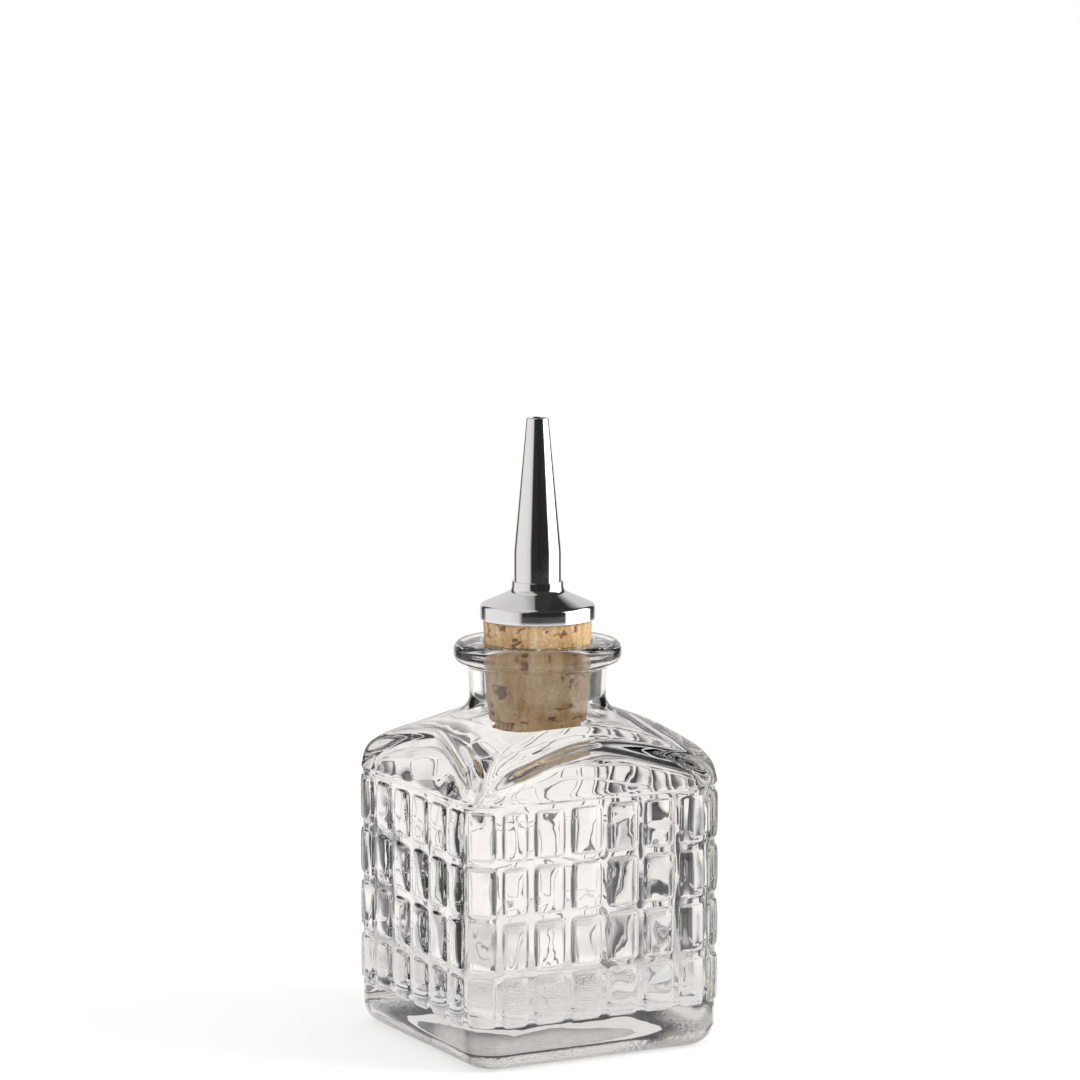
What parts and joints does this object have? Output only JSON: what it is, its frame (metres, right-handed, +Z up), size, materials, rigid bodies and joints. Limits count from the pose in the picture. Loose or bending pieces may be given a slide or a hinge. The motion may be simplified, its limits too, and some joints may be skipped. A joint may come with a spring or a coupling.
{
  "type": "bitters bottle",
  "caption": "Square pressed-glass bitters bottle with a raised block pattern, round neck and rolled lip, closed by a tapered cork with a long tapering metal dasher spout.",
  "frame": {"origin": "centre of the bottle's underside, on the surface that it stands on", "axes": "+Z up along the axis of the neck and the spout; the four patterned faces look along X and Y"},
  "size_m": [0.0578, 0.0578, 0.1245],
  "materials": {
    "glass": "clear pressed glass",
    "cork": "natural cork, matte",
    "bright_metal": "polished"
  },
  "bodies": {
    "bottle": {"glass_bottle": "glass"},
    "stopper": {"cork_stopper": "cork", "spout_cap": "bright_metal", "pour_spout": "bright_metal", "stem_tube": "bright_metal"}
  },
  "joints": [
    {"name": "stopper_lift", "type": "slide", "parent": "bottle", "child": "stopper", "axis": [0, 0, 1], "range_m": [0, 0.04]}
  ]
}
